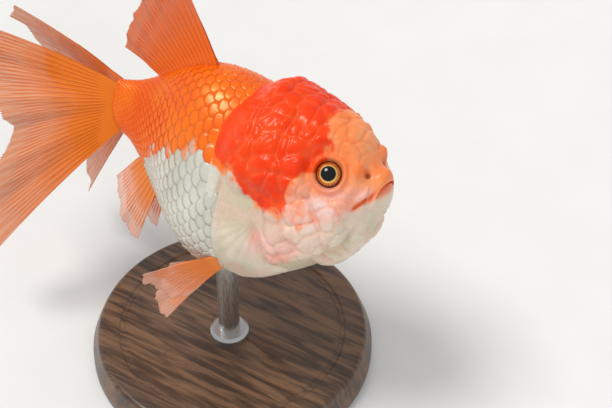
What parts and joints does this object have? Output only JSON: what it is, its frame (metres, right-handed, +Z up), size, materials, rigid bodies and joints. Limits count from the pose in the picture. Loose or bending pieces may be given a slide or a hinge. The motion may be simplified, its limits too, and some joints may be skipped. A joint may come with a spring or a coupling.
{
  "type": "goldfish",
  "caption": "Life-size model of a goldfish with a fleshy hood and double tail, swimming nose up, held on a rod over a flat round base.",
  "frame": {"origin": "centre of the round base's underside, on the surface the stand rests on", "axes": "+X towards the fish's nose, which is raised 9 degrees; +Y to the fish's left; +Z up. The fish is rolled 16 degrees about its own length, right flank up."},
  "size_m": [0.1357, 0.08, 0.1184],
  "materials": {
    "body": "moist orange skin under overlapping scales, silvery white on the belly",
    "hood": "soft satin red-orange flesh in rounded lobes",
    "throat": "soft cream flesh in low lobes",
    "lip": "smooth moist pink-orange flesh",
    "gill_cover": "smooth pearly plate, cream with an orange flush",
    "fin": "thin translucent web between fine branching rays",
    "eye": "clear glossy cornea over a gold-orange iris and a black pupil",
    "stand_wood": "dark satin turned wood",
    "stand_steel": "fine brushed steel rod"
  },
  "bodies": {
    "root": {"anal_fin_left": "fin", "anal_fin_right": "fin", "cheek_left": "hood", "cheek_right": "hood", "dorsal_fin": "fin", "eye_left": "eye", "eye_right": "eye", "gill_cover_left": "gill_cover", "gill_cover_right": "gill_cover", "head": "body", "hood_crown": "hood", "lip_lower": "lip", "lip_upper": "lip", "lower_jaw": "throat", "pectoral_fin_left": "fin", "pectoral_fin_right": "fin", "pelvic_fin_left": "fin", "pelvic_fin_right": "fin", "snout": "hood", "stand_base": "stand_wood", "stand_rod": "stand_steel", "tail_lower_left": "fin", "tail_lower_right": "fin", "tail_stalk": "body", "tail_upper_left": "fin", "tail_upper_right": "fin", "trunk": "body"}
  },
  "joints": []
}
